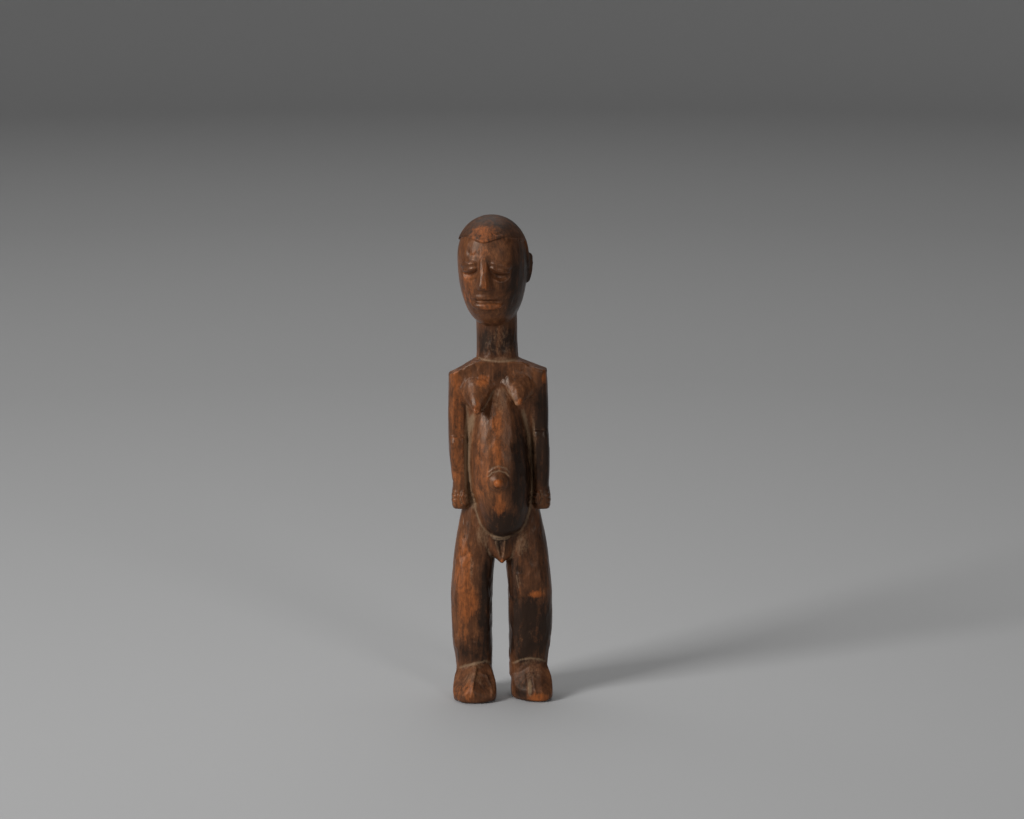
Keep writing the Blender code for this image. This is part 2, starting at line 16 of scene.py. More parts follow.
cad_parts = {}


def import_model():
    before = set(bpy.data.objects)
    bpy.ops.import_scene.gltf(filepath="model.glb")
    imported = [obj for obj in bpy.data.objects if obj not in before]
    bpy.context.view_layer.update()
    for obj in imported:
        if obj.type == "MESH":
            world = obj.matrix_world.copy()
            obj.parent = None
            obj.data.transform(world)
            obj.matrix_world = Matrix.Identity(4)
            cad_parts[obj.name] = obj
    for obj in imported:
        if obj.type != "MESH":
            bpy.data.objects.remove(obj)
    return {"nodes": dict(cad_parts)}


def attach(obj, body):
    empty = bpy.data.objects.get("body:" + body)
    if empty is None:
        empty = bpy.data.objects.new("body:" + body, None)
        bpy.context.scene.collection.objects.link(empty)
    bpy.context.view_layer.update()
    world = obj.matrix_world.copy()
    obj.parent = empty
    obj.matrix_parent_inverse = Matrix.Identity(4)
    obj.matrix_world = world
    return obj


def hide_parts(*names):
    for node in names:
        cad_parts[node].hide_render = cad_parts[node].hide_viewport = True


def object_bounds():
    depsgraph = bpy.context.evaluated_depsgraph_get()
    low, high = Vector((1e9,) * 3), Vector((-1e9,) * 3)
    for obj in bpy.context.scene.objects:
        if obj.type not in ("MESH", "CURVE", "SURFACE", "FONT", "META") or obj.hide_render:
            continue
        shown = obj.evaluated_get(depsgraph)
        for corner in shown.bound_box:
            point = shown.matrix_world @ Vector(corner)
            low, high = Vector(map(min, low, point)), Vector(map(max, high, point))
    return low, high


MM = 0.001

# The photograph's frame in pixels, and how the camera stands to it: the pixel where the middle of the
# figure's height lies, pixels to a millimetre there, and the camera's height angle and distance in metres
PHOTO_WIDE, PHOTO_HIGH = 1024, 819
AIM = Vector((0.0, 0.0, 110.0))
AIM_PIXEL = (501.0, 458.7)
PIXELS_PER_MM = 2.231
CAMERA_RISE = math.radians(11.0)
CAMERA_DISTANCE = 1.5
SENSOR = 36.0

# The skin: size of its first cells, and the most triangles that it keeps
CELL = 0.32
MOST_TRIANGLES = 196000

# Smoothing: edges of the solid that are sharper than RIDGE stay crisp, within RIDGE_NEAR, and the skin is
# fully smooth beyond RIDGE_FAR. The shares say how far the rounds of smoothing act at a ridge and away
# from it, on the body and on the head.
RIDGE = math.radians(27.0)
RIDGE_STEP = 0.4
RIDGE_NEAR, RIDGE_FAR = 0.4, 3.0
BODY_SHARE = (0.03, 1.0)
HEAD_SHARE = (0.04, 0.3)
SMOOTH_ROUNDS = 130
# The head's share takes over from the body's round this height
CHIN_BAND = (165.0, 171.0)
# Rounds of full smoothing once the skin is rounded, and once it is carved
ROUNDED_ROUNDS, CARVED_ROUNDS = 2, 1
# Points of the skin lower than this lie flat on the ground
SOLE_HIGH = 0.09

# Places where an edge of the solid is no ridge of the wood, so that it is smoothed away: centre and radii
SOFT = (
    ((0.0, -6.5, 149.5), (19.0, 7.0, 5.0)),
    ((-12.0, -7.0, 149.0), (9.0, 7.0, 5.0)),
    ((12.0, -7.0, 150.5), (9.0, 7.0, 5.0)),
    ((-18.5, -6.5, 119.5), (6.0, 3.0, 3.0)),
    ((18.5, -6.5, 122.5), (6.0, 3.0, 3.0)),
    ((12.0, -9.0, 53.0), (6.0, 4.0, 5.0)),
    ((-12.0, -13.0, 1.0), (12.0, 8.0, 4.6)),
    ((14.0, -11.0, 1.0), (12.0, 8.0, 4.6)),
)

# Flat cuts of the knife: how many, half sizes along and across the grain, depth, and how much they lean
FLATS = 1500
FLAT_LONG = (5.0, 11.0)
FLAT_WIDE = (2.0, 4.2)
FLAT_DEPTH = (0.03, 0.15)
FLAT_LEAN = 0.05
FLAT_SEED = 11
# A cut fades out this near to a ridge, where it would bite this deep, and from this share of its reach. It
# takes only skin that faces its own way by this much.
FLAT_CLEAR = (0.6, 2.4)
FLAT_BITE = (0.2, 0.5)
FLAT_EDGE = 0.6
FLAT_FACING = 0.6
# How strongly the knife shows, by height: rows of height and share
FLAT_SHARE = (
    (0, 1.0), (18, 1.0), (30, 0.6), (85, 0.5), (100, 0.5), (145, 0.8), (158, 1.1), (168, 0.9), (175, 0.35),
    (220, 0.35),
)

# Relief of the grain: wave across and along the grain, and depth
GRAIN = ((1.5, 26.0, 0.035), (0.8, 14.0, 0.02), (5.0, 40.0, 0.06))

# Views for the lines of the knife: the way that the surface faces, and the axes that the path is given in
FRONT = ((0, -1, 0.15), (0, 2))
LEFT_SIDE = ((-1, 0, 0), (1, 2))
RIGHT_SIDE = ((1, 0, 0), (1, 2))
BACK = ((0, 1, 0.15), (0, 2))
# How squarely the surface has to face a view: nothing is drawn at the first value, and all at the second
SQUARE = (0.1, 0.5)

# The button of the navel: place, radius and height
NAVEL = (-1.2, -20.0, 102.4)
NAVEL_RADIUS = 1.9
NAVEL_HIGH = 1.1

# Lines of the knife run out over this share of their length at each end, and the dust in them lies wider
# than they are cut by this factor
LINE_END = 0.12
DUST_SPREAD = 1.4
# Lines of the knife: view, path, half width, depth or with a minus sign the height of a bead, and how thick
# the dust lies on them
LINES = (
    # round the belly, from breast to breast: its left side, its lower edge and its right side
    (FRONT, (
        (-11.6, 133.0), (-13.2, 128.0), (-14.4, 122.0), (-15.1, 114.0), (-15.1, 108.0), (-14.5, 101.5),
        (-13.9, 95.3), (-12.4, 90.0), (-10.8, 85.3),
    ), 0.9, 0.12, 1.6),
    (FRONT, (
        (-13.9, 95.3), (-12.4, 90.0), (-10.8, 85.3), (-9.2, 81.0), (-7.2, 78.2), (-4.0, 76.1), (0.6, 75.4),
        (5.4, 76.1), (9.0, 78.2), (11.0, 81.6), (12.8, 86.9), (13.6, 93.8),
    ), 0.5, 0.15, 0.8),
    (FRONT, (
        (12.8, 86.9), (13.6, 93.8), (13.8, 105.4), (13.2, 113.6), (12.5, 119.5), (11.5, 125.4),
        (10.0, 131.5), (8.8, 135.6),
    ), 0.75, 0.12, 1.0),
    # round the foot of the neck
    (FRONT, ((-11.6, 157.0), (-8.6, 155.8), (-1.0, 155.0), (6.6, 155.6), (9.6, 156.8)), 0.45, 0.15, 0.8),
    (BACK, ((-11.6, 156.6), (-8.6, 156.0), (-1.0, 155.6), (6.6, 155.8), (9.6, 156.4)), 0.45, 0.15, 0.6),
    # under the breasts
    (FRONT, (
        (-17.2, 139.6), (-14.6, 136.2), (-11.4, 132.6), (-8.6, 133.4), (-5.4, 138.6), (-2.0, 143.8),
    ), 0.6, 0.15, 0.6),
    (FRONT, (
        (1.4, 145.2), (4.6, 140.8), (7.2, 136.8), (9.6, 136.6), (12.8, 139.8), (15.4, 142.6),
    ), 0.6, 0.15, 0.6),
    # two arcs above the navel
    (FRONT, ((-6.0, 104.4), (-4.2, 106.8), (-1.0, 107.8), (2.0, 106.8), (4.2, 104.4)), 0.35, 0.35, 0.7),
    (FRONT, ((-5.8, 106.8), (-4.0, 108.9), (-1.0, 109.8), (2.2, 108.7), (4.2, 106.4)), 0.35, 0.25, 0.6),
    # the channel of the wedge between its two ridges
    (FRONT, ((-0.4, 74.4), (0.1, 70.0), (0.4, 65.8)), 0.8, 0.6, 0.2),
    (FRONT, ((-2.5, 74.6), (-1.4, 70.2), (0.0, 65.6)), 0.5, -0.45, 0.5),
    (FRONT, ((1.9, 74.6), (1.4, 70.2), (0.8, 65.6)), 0.5, -0.45, 0.5),
    # the edge that tops the wedge, under the belly
    (FRONT, ((-4.6, 75.4), (-3.0, 74.8), (-0.4, 74.6), (2.4, 74.8), (4.6, 75.6)), 0.35, -0.3, 0.8),
    # between the wedge and the thighs
    (FRONT, ((-7.6, 76.0), (-6.8, 71.0), (-4.9, 66.2), (-2.6, 63.2)), 0.6, 0.15, 0.5),
    (FRONT, ((7.8, 76.0), (6.6, 71.0), (5.0, 66.2), (3.0, 63.0)), 0.6, 0.15, 0.5),
    # fingers, cut across the outside of each closed hand
    (LEFT_SIDE, ((-6.4, 94.6), (-2.4, 94.9), (1.8, 94.2)), 0.4, 0.35, 0.3),
    (LEFT_SIDE, ((-6.6, 92.6), (-2.4, 92.7), (2.0, 92.0)), 0.4, 0.35, 0.3),
    (LEFT_SIDE, ((-6.4, 90.4), (-2.4, 90.4), (1.8, 89.9)), 0.4, 0.35, 0.3),
    (RIGHT_SIDE, ((-6.4, 94.8), (-2.4, 95.0), (1.8, 94.4)), 0.4, 0.35, 0.3),
    (RIGHT_SIDE, ((-6.6, 92.7), (-2.4, 92.8), (2.0, 92.2)), 0.4, 0.35, 0.3),
    (RIGHT_SIDE, ((-6.4, 90.5), (-2.4, 90.5), (1.8, 90.0)), 0.4, 0.35, 0.3),
    # round the thumbs
    (FRONT, ((-17.9, 97.0), (-18.6, 93.4), (-17.6, 89.6)), 0.45, 0.35, 0.3),
    (FRONT, ((17.4, 97.0), (18.4, 93.4), (17.6, 89.6)), 0.45, 0.35, 0.3),
    # the edges of the cuts on the feet
    (FRONT, ((-11.2, 16.0), (-12.0, 11.0), (-12.8, 7.6), (-13.8, 2.0)), 0.5, -0.4, 0.4),
    (FRONT, ((-10.4, 13.0), (-6.6, 11.4), (-4.4, 7.0), (-3.8, 1.0)), 0.5, -0.35, 0.25),
    (FRONT, ((11.6, 12.6), (11.9, 9.0), (13.0, 3.6)), 0.5, -0.3, 0.3),
    (FRONT, ((14.4, 12.0), (15.0, 8.0), (16.0, 3.6)), 0.5, -0.3, 0.0),
    # scratches on the right thigh
    (FRONT, ((6.8, 58.4), (7.3, 55.0), (8.2, 51.6)), 0.22, 0.15, 0.55),
    (FRONT, ((8.0, 57.4), (8.3, 55.4), (8.7, 53.6)), 0.2, 0.12, 0.45),
    # where each foot meets its shin
    (FRONT, ((-20.0, 13.0), (-16.0, 15.2), (-11.0, 16.6), (-7.2, 17.2), (-3.6, 15.0)), 0.45, 0.15, 0.9),
    (FRONT, ((4.6, 15.4), (8.6, 17.8), (13.4, 18.8), (17.6, 18.0), (21.2, 15.8)), 0.45, 0.15, 0.9),
    # the line that parts the lips
    (FRONT, ((-8.0, 183.7), (-3.6, 183.9), (0.6, 183.6)), 0.35, 0.2, 0.0),
)

# Soft hollows and swellings: centre, radii, direction of the press, and depth, which with a minus sign is a
# swelling
DENTS = (
    # hollows of the ears
    ((15.0, 3.0, 196.5), (2.6, 2.4, 4.6), (-1, 0.4, 0), 0.5),
    ((-14.6, 8.4, 196.5), (2.6, 2.4, 4.6), (1, 0.2, 0), 0.5),
    # the left arm stands out a little above and at the elbow
    ((-22.5, 0.0, 124.0), (5.0, 12.0, 20.0), (-1, 0, 0), 0.6),
    # the ledge of the right kneecap, proud above and cut in below, and the left kneecap
    ((16.6, -10.4, 51.4), (4.6, 4.0, 2.6), (0, 1, 0), -0.6),
    ((16.4, -9.8, 47.6), (4.8, 4.0, 2.0), (0, 1, 0), 0.6),
    ((-14.6, -9.6, 44.0), (6.0, 4.0, 3.0), (0, 1, 0), -0.35),
    # the flat of the mound under the navel button
    ((-1.2, -19.5, 99.4), (4.4, 4.0, 1.8), (0, 1, 0), 0.5),
)

# The hair, in the head's own axes from its middle: the head's middle and turn, the line over the brow as
# outward and up, the line past the ears to the nape as back and up, how far back the second line starts,
# and how dark the hair is
HEAD_MIDDLE = np.array((-3.4, 0.56, 195.0))
HEAD_YAW = math.radians(-12.0)
HAIR_BROW = ((0.0, 14.6), (8.5, 17.0), (13.0, 15.6), (20.0, 8.0))
HAIR_SIDE = ((2.0, 4.0), (9.0, -5.0), (13.0, -11.0), (30.0, -14.0))
HAIR_TEMPLE = 2.2
HAIR_DARK = 0.55

# Zones of the surface, each a soft ellipsoid: centre, radii, strength. They fade between these shares of
# their radii.
ZONE_FADE = (0.45, 1.15)
# Worn to the orange heartwood, and on the lit left of the face painted highlights as well:
WORN_AND_HIGHLIGHTS = (
    ((-8.4, -13.0, 213.4), (8.0, 7.0, 5.0), 0.66),
    ((-9.0, -15.0, 205.0), (6.0, 7.0, 3.4), 0.5),
    # worn wood with painted highlight: the left of the nose, the left cheek and the lips, lit from the left
    ((-7.0, -19.0, 196.0), (2.6, 6.0, 9.0), 0.6),
    ((-15.0, -9.0, 189.0), (5.0, 8.0, 12.0), 0.5),
    ((-5.0, -17.0, 180.0), (9.0, 6.0, 6.0), 0.45),
    ((-8.0, -8.0, 147.2), (4.0, 6.0, 4.0), 0.8),
    ((-20.0, -4.0, 146.0), (3.5, 7.0, 6.0), 0.7),
    ((-19.6, -3.0, 132.0), (4.5, 8.0, 16.0), 0.62),
    ((20.0, -4.0, 147.4), (2.4, 4.0, 3.4), 1.0),
    ((-10.6, -14.0, 137.6), (2.6, 3.8, 6.4), 0.75),
    ((8.6, -14.4, 138.4), (2.0, 3.0, 3.0), 0.55),
    ((-2.2, -11.5, 128.0), (4.0, 5.4, 7.0), 0.72),
    ((-1.4, -14.6, 116.0), (4.0, 5.4, 9.0), 0.66),
    ((-9.0, -13.0, 108.0), (5.4, 7.0, 18.0), 0.5),
    ((-1.0, -20.0, 102.6), (5.2, 3.8, 5.0), 0.95),
    ((-1.0, -21.4, 102.6), (2.3, 2.0, 2.3), 1.25),
    ((-0.8, -15.4, 92.0), (3.8, 5.6, 7.0), 0.72),
    ((-19.6, -4.0, 110.0), (4.0, 7.0, 14.0), 0.52),
    ((-18.4, -6.0, 92.0), (4.5, 5.0, 5.0), 0.4),
    ((-17.0, -6.0, 60.0), (5.6, 9.0, 20.0), 0.72),
    ((-15.6, -8.0, 44.0), (7.0, 8.0, 13.0), 0.75),
    ((-16.4, -6.0, 32.0), (4.0, 8.0, 8.0), 0.4),
    ((16.2, -8.0, 49.0), (5.0, 4.4, 2.2), 1.2),
    ((-14.5, -14.0, 6.4), (3.2, 8.0, 7.0), 0.65),
    ((-20.0, -11.0, 5.0), (3.0, 8.0, 7.0), 0.5),
    ((17.0, -13.0, 2.4), (7.0, 4.6, 2.6), 0.95),
    ((0.5, -9.5, 63.8), (2.2, 4.0, 2.0), 1.0),
)
# Darker, towards the old oil colour: old dark oil and smoke on the right leg, painted shade on the right
# side of the belly and of the head, which turn from the light, and other darker places:
DARK = (
    # painted shade: the right side of the belly, where it turns from the light
    ((10.5, -10.0, 104.0), (9.0, 12.0, 36.0), 0.9),
    ((1.4, -12.0, 79.0), (14.0, 10.0, 14.0), 1.0),
    ((-5.5, -2.0, 44.0), (6.0, 12.0, 34.0), 0.9),
    ((-11.0, 0.0, 22.0), (12.0, 14.0, 9.0), 0.7),
    ((13.0, 0.0, 34.0), (14.0, 14.0, 24.0), 1.0),
    ((16.0, 0.0, 66.0), (12.0, 14.0, 24.0), 0.4),
    ((-1.0, 0.0, 164.0), (14.0, 14.0, 9.0), 0.8),
    # painted shade: the right side of the face and head, turned from the light, with the nose's shadow on
    # the cheek
    ((10.5, -6.0, 188.0), (12.0, 16.0, 26.0), 0.85),
    ((19.0, 0.0, 120.0), (6.0, 12.0, 36.0), 0.9),
    ((6.0, -4.0, 54.0), (5.0, 10.0, 16.0), 0.7),
    ((12.0, -7.0, 9.0), (9.0, 9.0, 8.0), 0.45),
    ((8.6, -12.0, 6.0), (4.4, 9.0, 8.0), 0.75),
    ((-6.6, -12.0, 10.0), (3.6, 8.0, 6.0), 0.5),
    ((2.0, -5.0, 150.0), (12.0, 8.0, 6.0), 0.3),
)
# Grey and tan dust that settled in, and two painted highlights, on a facet of the right foot and down the
# left thigh:
DUST_AND_HIGHLIGHTS = (
    ((-1.0, -6.0, 155.8), (15.0, 12.0, 1.6), 0.4),
    ((-1.0, -6.0, 164.0), (11.0, 12.0, 9.0), 0.22),
    ((0.0, -7.0, 139.0), (5.0, 5.0, 7.0), 0.4),
    ((-15.1, -4.0, 112.0), (1.7, 8.0, 28.0), 1.0),
    ((14.4, -4.0, 112.0), (1.7, 6.0, 26.0), 0.5),
    ((-8.4, -5.0, 76.0), (3.6, 6.0, 6.0), 0.5),
    ((9.4, -5.0, 72.0), (3.6, 6.0, 7.0), 0.5),
    ((-12.0, -7.0, 15.6), (9.0, 5.0, 1.8), 0.3),
    ((13.0, -6.0, 17.0), (9.0, 5.0, 2.0), 0.3),
    ((-13.0, -10.0, 10.5), (6.0, 6.0, 4.0), 0.35),
    ((15.0, -8.0, 13.0), (6.0, 6.0, 4.0), 0.3),
    # dust and a painted highlight: the facet of the right foot that faces the light
    ((13.0, -14.0, 7.4), (1.3, 8.0, 5.4), 1.2),
    # painted highlight: a grey-tan streak of light down the left thigh
    ((-13.4, -7.0, 61.0), (1.1, 3.0, 8.0), 0.5),
)

# Duller than the rest, on the feet and over the brow:
MATT = (
    ((-12.0, -6.0, 6.0), (14.0, 16.0, 13.0), 0.5),
    ((13.0, -4.0, 6.0), (14.0, 16.0, 14.0), 0.6),
    ((-3.0, -14.0, 206.0), (12.0, 9.0, 7.0), 0.7),
)

# Rounds of smoothing that tell fine and broad hollows from the skin
HOLLOW_ROUNDS = (6, 30)

# Colours of the wood, linear: old oil and smoke, also used for painted shade, plain brown, brown worn by
# hands, bare heartwood, also used for painted highlights on the face, and dust, also used for two
# highlights
OILED_AND_SHADE = (0.019, 0.009, 0.0055, 1.0)
BROWN = (0.108, 0.04, 0.0165, 1.0)
HANDLED = (0.215, 0.08, 0.03, 1.0)
HEARTWOOD_AND_HIGHLIGHT = (0.38, 0.105, 0.024, 1.0)
DUST_AND_HIGHLIGHT_COLOUR = (0.23, 0.15, 0.088, 1.0)
# The warm cast that the oil gives to the gloss
SHEEN_TINT = (1.0, 0.82, 0.68, 1.0)

# The paper of the studio near the figure, behind it and at the wall, and the distances in metres from the
# figure over which it changes. The darker paper behind the figure is painted shade and the lighter wall
# painted light.
PAPER = ((0.395, 0.395, 0.395, 1.0), (0.325, 0.325, 0.325, 1.0), (0.46, 0.46, 0.46, 1.0))
PAPER_NEAR = (0.1, 0.8)
PAPER_FAR = (1.6, 3.6)

# The studio, in metres: radius of its flat floor, radius of the bend that rises from it, height of the wall
FLOOR_RADIUS = 2.6
BEND_RADIUS = 1.0
WALL_HIGH = 3.2
BEND_STEPS = 16
ROUND_STEPS = 96

# Soft boxes: azimuth and height angle, distance, width and height in metres, and power in watts
LIGHTS = (
    (-54.0, 27.0, 2.0, 0.6, 1.1, 35.0),
    (30.0, 24.0, 2.0, 0.4, 1.0, 6.0),
    (-160.0, 66.0, 2.0, 2.2, 2.2, 22.0),
)
AMBIENT = 0.05


def smoothstep(low, high, value):
    """0 below low and 1 above high, with a smooth rise between them."""
    t = np.clip((value - low) / (high - low), 0.0, 1.0)
    return t * t * (3 - 2 * t)


def noise(points, size, seed):
    """Smooth noise from -1 to 1 at each point, with waves of the given size along X, Y and Z."""
    cell = points / np.array(size, float)
    base = np.floor(cell).astype(np.int64)
    t = cell - base
    t = t * t * (3 - 2 * t)
    total = np.zeros(len(points))
    for corner in itertools.product((0, 1), repeat=3):
        key = (base + corner) @ np.array((73856093, 19349663, 83492791)) + seed * 668265263
        key = (key ^ (key >> 13)) * 1274126177
        key = (key ^ (key >> 16)) & 0xFFFFFF
        weight = np.prod(np.where(corner, t, 1 - t), axis=1)
        total += weight * (key / 0x7FFFFF - 1)
    return total


class Skin:
    """The figure's surface as arrays in millimetres, which is smoothed, cut and scored."""

    def __init__(self, mesh):
        self.mesh = mesh
        self.count = len(mesh.vertices)
        self.points = np.empty(self.count * 3)
        mesh.vertices.foreach_get("co", self.points)
        self.points = self.points.reshape(-1, 3) / MM
        edges = np.empty(len(mesh.edges) * 2, np.int32)
        mesh.edges.foreach_get("vertices", edges)
        self.start, self.end = edges.reshape(-1, 2).T
        self.valence = np.bincount(edges, minlength=self.count)

    def write(self):
        self.mesh.vertices.foreach_set("co", (self.points * MM).astype(np.float32).ravel())
        self.mesh.update()

    def normals(self):
        self.write()
        found = np.empty(self.count * 3, np.float32)
        self.mesh.vertex_normals.foreach_get("vector", found)
        return found.reshape(-1, 3).astype(float)

    def around(self, values):
        """The mean of each vertex's neighbours."""
        columns = []
        for column in values.T:
            both = np.bincount(self.start, column[self.end], self.count)
            both += np.bincount(self.end, column[self.start], self.count)
            columns.append(both / self.valence)
        return np.stack(columns, axis=1)

    def smooth(self, share, rounds):
        """Moves each vertex towards its neighbours, by half of its own share in each round."""
        step = 0.5 * np.broadcast_to(share, self.count)[:, None]
        for _ in range(rounds):
            self.points += step * (self.around(self.points) - self.points)

    def store(self, name, values):
        """Keeps a value at each vertex for the material."""
        made = self.mesh.attributes.new(name, "FLOAT", "POINT")
        made.data.foreach_set("value", values.astype(np.float32))


def apply_modifiers(thing):
    """The object's mesh becomes what its modifiers make of it."""
    graph = bpy.context.evaluated_depsgraph_get()
    mesh = bpy.data.meshes.new_from_object(thing.evaluated_get(graph))
    thing.modifiers.clear()
    thing.data = mesh


def ridges_of(mesh):
    """Points along the solid's edges that the carver left sharp."""
    soft = [(Vector(centre), Vector(radii)) for centre, radii in SOFT]
    bm = bmesh.new()
    bm.from_mesh(mesh)
    bmesh.ops.remove_doubles(bm, verts=bm.verts[:], dist=0.001 * MM)
    found = []
    for edge in bm.edges:
        if len(edge.link_faces) == 2 and edge.calc_face_angle(0.0) > RIDGE:
            a, b = (v.co / MM for v in edge.verts)
            steps = max(1, round((b - a).length / RIDGE_STEP))
            found += [a.lerp(b, k / steps) for k in range(steps + 1)]
    bm.free()
    return [p for p in found if not any(inside(p, *place) for place in soft)]


def inside(point, centre, radii):
    """Whether a point is inside an ellipsoid."""
    return sum(((p - c) / r) ** 2 for p, c, r in zip(point, centre, radii)) < 1


def distance_to(points, targets):
    """How far each point is from the nearest of the targets."""
    tree = KDTree(len(targets))
    for k, target in enumerate(targets):
        tree.insert(target, k)
    tree.balance()
    return np.array([tree.find(p)[2] for p in points])


def dense_skin(solid):
    """A new object with the solid's shape, in small even cells."""
    figure = bpy.data.objects.new("carved_figure", solid.data.copy())
    bpy.context.scene.collection.objects.link(figure)
    cells = figure.modifiers.new("cells", "REMESH")
    cells.mode = "VOXEL"
    cells.voxel_size = CELL * MM
    apply_modifiers(figure)
    return figure


def round_over(skin, ridge_gap):
    """Turns the solid's facets into rounded wood, and leaves its ridges and creases a little worn."""
    far = smoothstep(RIDGE_NEAR, RIDGE_FAR, ridge_gap)
    on_head = smoothstep(*CHIN_BAND, skin.points[:, 2])
    body, head = (near + (away - near) * far for near, away in (BODY_SHARE, HEAD_SHARE))
    skin.smooth(body + (head - body) * on_head, SMOOTH_ROUNDS)
    skin.smooth(1.0, ROUNDED_ROUNDS)


def cut_flats(skin, ridge_gap):
    """The small flat cuts that the knife left, away from ridges and creases."""
    rng = np.random.default_rng(FLAT_SEED)
    normals = skin.normals()
    order = np.argsort(skin.points[:, 2])
    points, outward = skin.points[order], normals[order]
    open_wood = smoothstep(*FLAT_CLEAR, ridge_gap[order])
    heights = points[:, 2].copy()
    levels, shares = np.array(FLAT_SHARE).T
    for _ in range(FLATS):
        k = rng.integers(skin.count)
        centre = points[k].copy()
        out = outward[k] + rng.normal(0.0, FLAT_LEAN, 3)
        out /= np.linalg.norm(out)
        long, wide = rng.uniform(*FLAT_LONG), rng.uniform(*FLAT_WIDE)
        depth = rng.uniform(*FLAT_DEPTH) * np.interp(centre[2], levels, shares)
        low, high = np.searchsorted(heights, (centre[2] - long, centre[2] + long))
        gap = points[low:high] - centre
        across = np.hypot(gap[:, 0], gap[:, 1])
        reach = np.hypot(gap[:, 2] / long, across / wide)
        proud = gap @ out + depth
        cut = (reach < 1) & (proud > 0) & (outward[low:high] @ out > FLAT_FACING)
        move = proud * (1 - smoothstep(FLAT_EDGE, 1.0, reach)) * cut * open_wood[low:high]
        move *= 1 - smoothstep(*FLAT_BITE, proud)
        points[low:high] -= move[:, None] * out
    skin.points[order] = points


def gap_to_path(points, path):
    """How far each point is from a line of straight pieces, and how far along it its nearest place is."""
    path = np.array(path, float)
    steps = np.linalg.norm(np.diff(path, axis=0), axis=1)
    done = np.concatenate(([0.0], np.cumsum(steps))) / steps.sum()
    best = np.full(len(points), np.inf)
    along = np.zeros(len(points))
    for k, (a, b) in enumerate(zip(path, path[1:])):
        t = np.clip((points - a) @ (b - a) / ((b - a) @ (b - a)), 0.0, 1.0)
        gap = np.linalg.norm(points - (a + t[:, None] * (b - a)), axis=1)
        nearer = gap < best
        best = np.where(nearer, gap, best)
        along = np.where(nearer, done[k] + t * (done[k + 1] - done[k]), along)
    return best, along


def facing(normals, way):
    """How squarely the surface faces a direction, from 0 to 1."""
    way = np.array(way, float) / np.linalg.norm(way)
    return smoothstep(*SQUARE, normals @ way)


def score(skin, lines):
    """Draws lines with the tip of the knife, and gives the dust that lies in them.

    A negative depth raises a bead instead. The ends of each line run out.
    """
    normals = skin.normals()
    dust = np.zeros(skin.count)
    for (way, axes), path, half_width, depth, dusty in lines:
        gap, along = gap_to_path(skin.points[:, axes], path)
        share = smoothstep(0.0, LINE_END, along) * smoothstep(1.0, 1.0 - LINE_END, along)
        share *= facing(normals, way)
        skin.points -= (depth * share * np.exp(-((gap / half_width) ** 2)))[:, None] * normals
        dust = np.maximum(dust, dusty * share * np.exp(-((gap / (DUST_SPREAD * half_width)) ** 2)))
    return dust


def dome(skin, centre, radius, high, power=0.5):
    """Raises a round button on the front of the figure."""
    gap = skin.points[:, (0, 2)] - np.array((centre[0], centre[2]))
    inner = np.clip(1 - (gap**2).sum(axis=1) / radius**2, 0.0, 1.0)
    near = np.abs(skin.points[:, 1] - centre[1]) < 2 * radius
    skin.points[:, 1] -= high * inner**power * near


def dent(skin, centre, radii, way, depth):
    """Presses a soft hollow into the surface, or with a negative depth raises it, along one direction."""
    reach = np.linalg.norm((skin.points - np.array(centre)) / np.array(radii), axis=1)
    way = np.array(way, float) / np.linalg.norm(way)
    skin.points += (depth * smoothstep(1.0, 0.2, reach))[:, None] * way


def carve(skin):
    """The carving that is finer than the solid, from the ears to the feet. Gives the dust in its lines."""
    for centre, radii, way, depth in DENTS:
        dent(skin, centre, radii, way, depth)
    dust = score(skin, LINES)
    dome(skin, NAVEL, NAVEL_RADIUS, NAVEL_HIGH)
    skin.smooth(1.0, CARVED_ROUNDS)
    return dust


def raise_grain(skin):
    """Shallow furrows along the grain."""
    normals = skin.normals()
    upright = 1 - np.abs(normals[:, 2]) ** 2
    for k, (wide, long, depth) in enumerate(GRAIN):
        relief = noise(skin.points, (wide, wide, long), seed=k + 1) * depth * upright
        skin.points += relief[:, None] * normals


def camera():
    """The camera at the photograph's angle, aimed so that the figure lands where it does there."""
    made = bpy.data.objects.new("camera", bpy.data.cameras.new("camera"))
    bpy.context.scene.collection.objects.link(made)
    bpy.context.scene.camera = made
    up = Vector((0.0, math.sin(CAMERA_RISE), math.cos(CAMERA_RISE)))
    back = Vector((0.0, -math.cos(CAMERA_RISE), math.sin(CAMERA_RISE)))
    target = AIM.copy()
    target.x += (PHOTO_WIDE / 2 - AIM_PIXEL[0]) / PIXELS_PER_MM
    target += up * (AIM_PIXEL[1] - PHOTO_HIGH / 2) / PIXELS_PER_MM
    made.location = target * MM + back * CAMERA_DISTANCE
    made.rotation_euler = (math.pi / 2 - CAMERA_RISE, 0.0, 0.0)
    made.data.sensor_width = SENSOR
    made.data.lens = SENSOR * CAMERA_DISTANCE / (PHOTO_WIDE / PIXELS_PER_MM * MM)


def zone(points, zones):
    """The strongest of the zones at each point, and 0 outside them all."""
    found = np.zeros(len(points))
    for centre, radii, strength in zones:
        reach = np.linalg.norm((points - centre) / np.array(radii), axis=1)
        found = np.maximum(found, strength * (1 - smoothstep(*ZONE_FADE, reach)))
    return found


def on_hair(points):
    """1 on the hair and 0 elsewhere, with a soft edge."""
    turn = complex(math.cos(-HEAD_YAW), math.sin(-HEAD_YAW))
    flat = ((points[:, 0] - HEAD_MIDDLE[0]) + 1j * (points[:, 1] - HEAD_MIDDLE[1])) * turn
    up = points[:, 2] - HEAD_MIDDLE[2]
    brow = np.interp(np.abs(flat.real), *np.array(HAIR_BROW).T)
    side = np.interp(flat.imag, *np.array(HAIR_SIDE).T)
    return smoothstep(-0.3, 0.3, up - np.where(flat.imag < HAIR_TEMPLE, brow, side))


